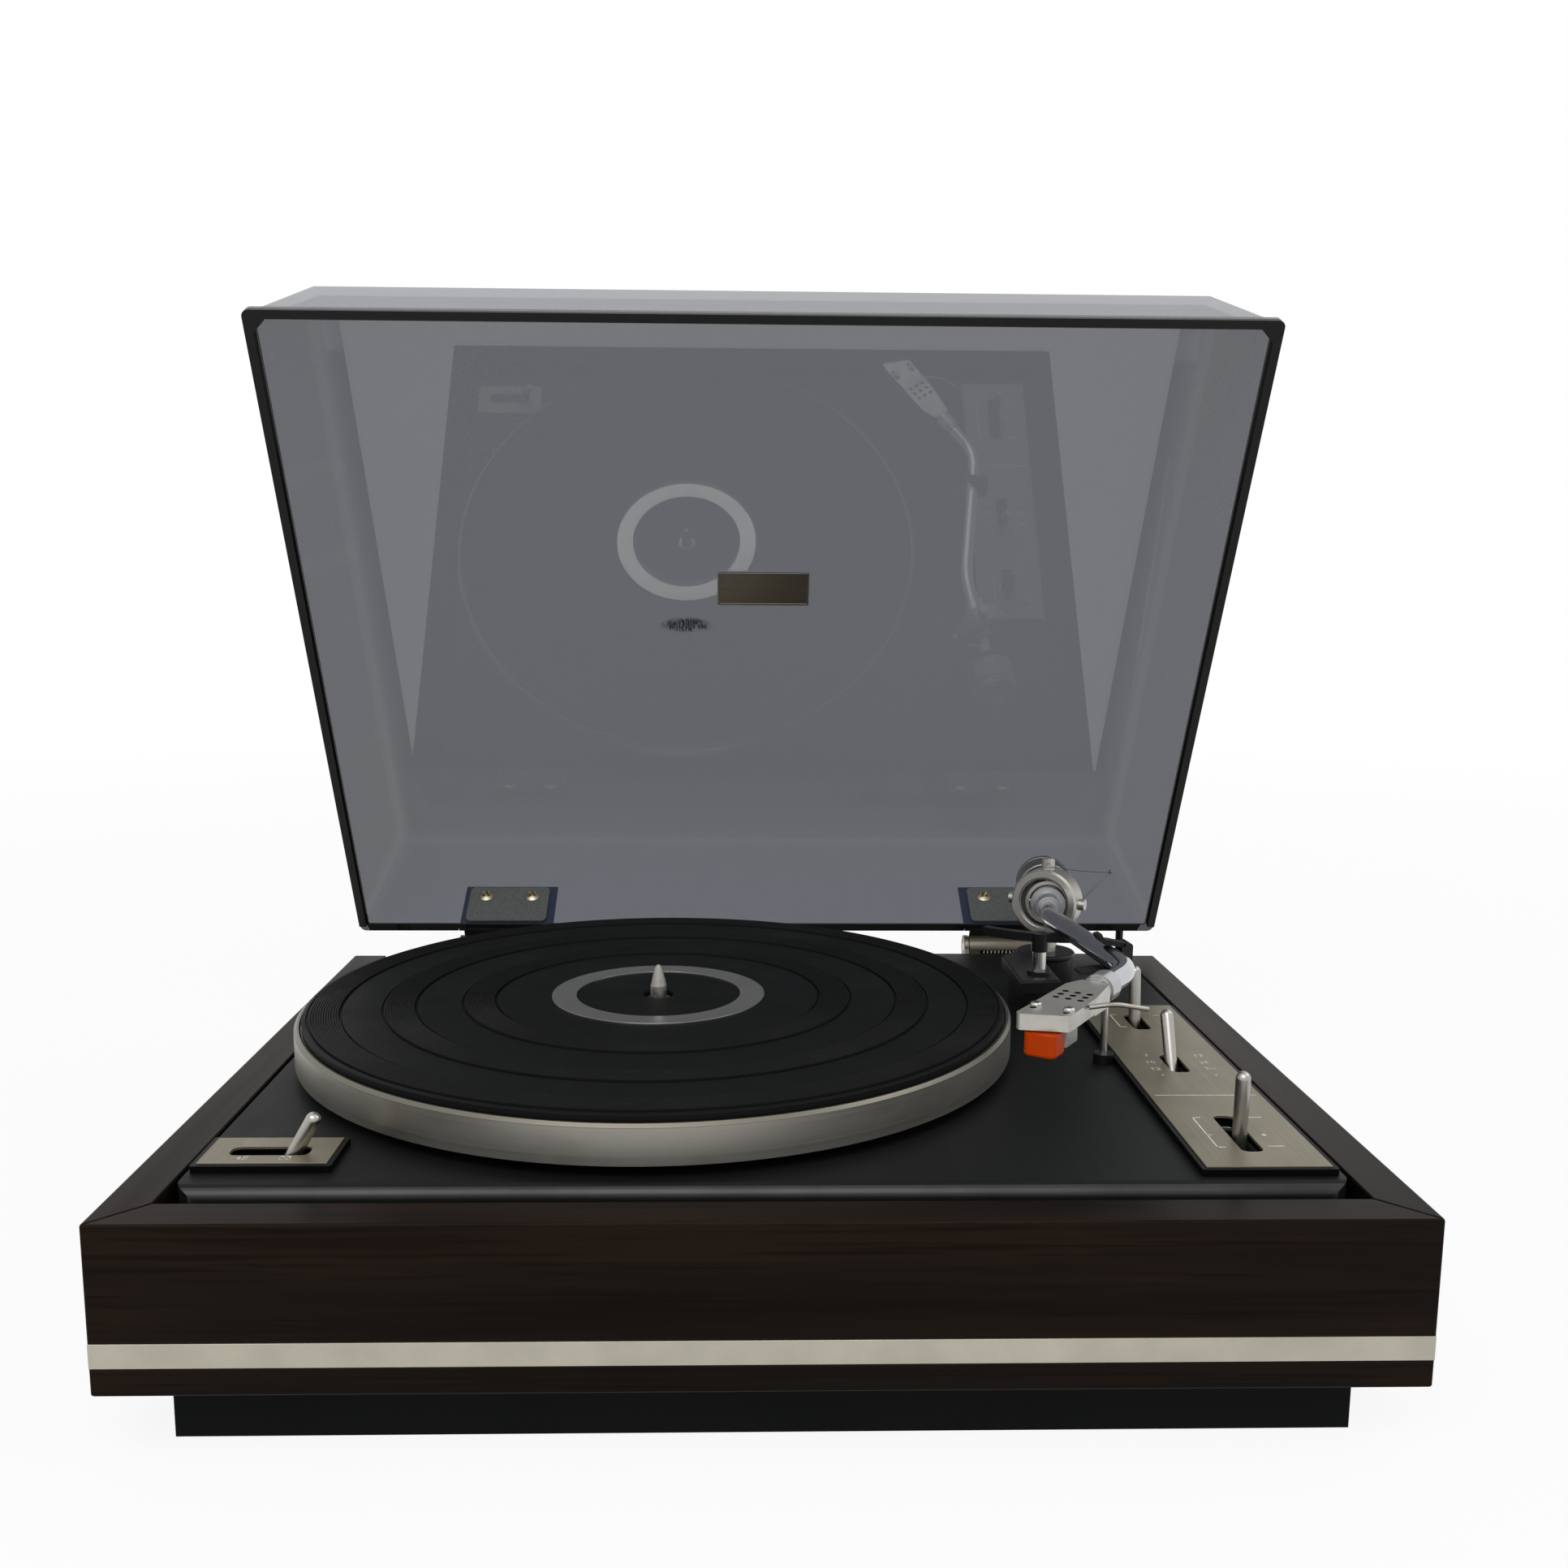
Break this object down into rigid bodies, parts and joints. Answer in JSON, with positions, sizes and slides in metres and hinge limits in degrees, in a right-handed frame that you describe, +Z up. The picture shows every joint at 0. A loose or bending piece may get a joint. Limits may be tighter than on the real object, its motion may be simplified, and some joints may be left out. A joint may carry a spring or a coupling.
{
  "type": "turntable",
  "caption": "Belt-drive record turntable on a wooden plinth with a hinged smoked cover, an S-shaped tonearm, a ribbed mat and lever controls.",
  "frame": {"origin": "on the underside of the base, midway between the sides and 169 mm behind the front face of the plinth", "axes": "+X to the right as seen from the front, +Y to the rear, +Z up"},
  "size_m": [0.4415, 0.4202, 0.4174],
  "materials": {
    "wood": "dark rosewood veneer, satin",
    "pale_inlay": "satin champagne strip",
    "board": "raw particle board",
    "black_base": "matt black paint",
    "deck_black": "matt black, fine grain",
    "zinc": "zinc plated",
    "steel": "ground",
    "black_metal": "satin black",
    "champagne": "brushed champagne",
    "satin_steel": "satin",
    "platter_alloy": "turned",
    "mat_rubber": "matt",
    "ring_alloy": "satin",
    "bright": "polished",
    "motor_can": "plain",
    "weight_alloy": "satin black with bright edges",
    "dial_black": "satin",
    "cartridge_plastic": "clear grey",
    "stylus_orange": "clear orange",
    "smoked": "smoked clear acrylic",
    "badge_metal": "dark satin with bright edge",
    "hinge_bronze": "bronze nickel",
    "screw_metal": "nickel",
    "terminal": "plain"
  },
  "bodies": {
    "plinth": {"front_board": "wood", "front_stripe": "pale_inlay", "left_board": "wood", "right_board": "wood", "rear_panel": "board", "base_skirt": "black_base", "bottom_panel": "board", "base_screws": "zinc", "corner_blocks": "board", "deck_plate": "deck_black", "plate_surrounds": "black_metal", "control_faces": "champagne", "lever_brackets": "zinc", "lever_pins": "steel", "bearing_housing": "platter_alloy", "thrust_ball": "steel", "motor": "motor_can", "motor_grommets": "mat_rubber", "drive_belt": "mat_rubber", "arm_base": "black_metal", "arm_pillar": "black_metal", "gimbal_ring": "black_metal", "side_thrust_wire": "bright", "lifter_tube": "bright", "arm_rest": "black_metal", "hinge_brackets": "hinge_bronze", "hinge_pins": "steel", "hinge_springs": "hinge_bronze", "lid_stop_post": "black_metal", "cord_bushes": "dial_black", "earth_terminal": "terminal"},
    "platter": {"platter": "platter_alloy", "rubber_mat": "mat_rubber", "label_ring": "ring_alloy", "spindle": "bright"},
    "pulley": {"motor_pulley": "steel"},
    "lid": {"dust_cover": "smoked", "cover_edge_strip": "black_metal", "badge_plate": "badge_metal", "hinge_leaves": "hinge_bronze", "clamp_plates": "black_metal", "hinge_screws": "screw_metal"},
    "swing": {"gimbal_inner": "bright", "pivot_head": "bright"},
    "arm": {"bearing_sleeve": "bright", "arm_tube": "bright", "headshell": "satin_steel", "finger_lift": "bright", "cartridge_body": "cartridge_plastic", "stylus_unit": "stylus_orange", "cartridge_screws": "bright"},
    "weight": {"counterweight": "weight_alloy"},
    "dial": {"force_dial": "dial_black"},
    "collar": {"locking_collar": "bright"},
    "clip": {"rest_clip": "black_metal"},
    "lifter": {"lifter_bar": "dial_black"},
    "speed": {"speed_lever": "satin_steel"},
    "start": {"start_lever": "satin_steel"},
    "size": {"size_lever": "satin_steel"},
    "cue": {"cue_lever": "satin_steel"}
  },
  "joints": [
    {"name": "platter_spin", "type": "hinge", "parent": "plinth", "child": "platter", "pos_m": [-0.0454, 0.0175, 0.094], "axis": [0, 0, 1], "continuous": true},
    {"name": "pulley_spin", "type": "hinge", "parent": "plinth", "child": "pulley", "pos_m": [-0.15025, -0.05592, 0.09], "axis": [0, 0, 1], "continuous": true},
    {"name": "lid_hinge", "type": "hinge", "parent": "plinth", "child": "lid", "pos_m": [0.0015, 0.1905, 0.0826], "axis": [1, 0, 0], "range_deg": [0, 62.85]},
    {"name": "arm_swing", "type": "hinge", "parent": "plinth", "child": "swing", "pos_m": [0.1429, 0.0977, 0.129], "axis": [0, 0, -1], "range_deg": [0, 42]},
    {"name": "arm_tilt", "type": "hinge", "parent": "swing", "child": "arm", "pos_m": [0.1429, 0.0977, 0.129], "axis": [0.9877, -0.1564, 0], "range_deg": [-4.5, 0]},
    {"name": "weight_slide", "type": "slide", "parent": "arm", "child": "weight", "axis": [-0.1564, -0.9877, 0], "range_m": [-0.004, 0.008]},
    {"name": "dial_turn", "type": "hinge", "parent": "weight", "child": "dial", "pos_m": [0.14697, 0.12338, 0.129], "axis": [-0.1564, -0.9877, 0], "continuous": true},
    {"name": "collar_turn", "type": "hinge", "parent": "arm", "child": "collar", "pos_m": [0.13156, -0.0618, 0.129], "axis": [-0.5592, -0.829, 0], "range_deg": [0, 60]},
    {"name": "clip_turn", "type": "hinge", "parent": "plinth", "child": "clip", "pos_m": [0.15384, -0.01099, 0.1335], "axis": [0.1231, -0.9924, 0], "range_deg": [-100, 0]},
    {"name": "speed_select", "type": "hinge", "parent": "plinth", "child": "speed", "pos_m": [-0.17506, -0.1168, 0.07], "axis": [0, 1, 0], "range_deg": [-62, 3]},
    {"name": "start_throw", "type": "hinge", "parent": "plinth", "child": "start", "pos_m": [0.1736, -0.10391, 0.055], "axis": [-1, 0, 0], "range_deg": [-20, 28]},
    {"name": "size_select", "type": "hinge", "parent": "plinth", "child": "size", "pos_m": [0.1736, -0.02332, 0.072], "axis": [-1, 0, 0], "range_deg": [-50, 6]},
    {"name": "cue_throw", "type": "hinge", "parent": "plinth", "child": "cue", "pos_m": [0.1736, 0.03953, 0.071], "axis": [1, 0, 0], "range_deg": [0, 40]},
    {"name": "lifter_slide", "type": "slide", "parent": "plinth", "child": "lifter", "axis": [0, 0, 1], "range_m": [-0.005, 0]}
  ],
  "couplings": [
    {"joint": "pulley_spin", "follows": "platter_spin", "ratio": 9},
    {"joint": "clip_turn", "follows": "arm_tilt", "ratio": 22},
    {"joint": "lifter_slide", "follows": "cue_throw", "m_per_rad": -0.007162}
  ]
}
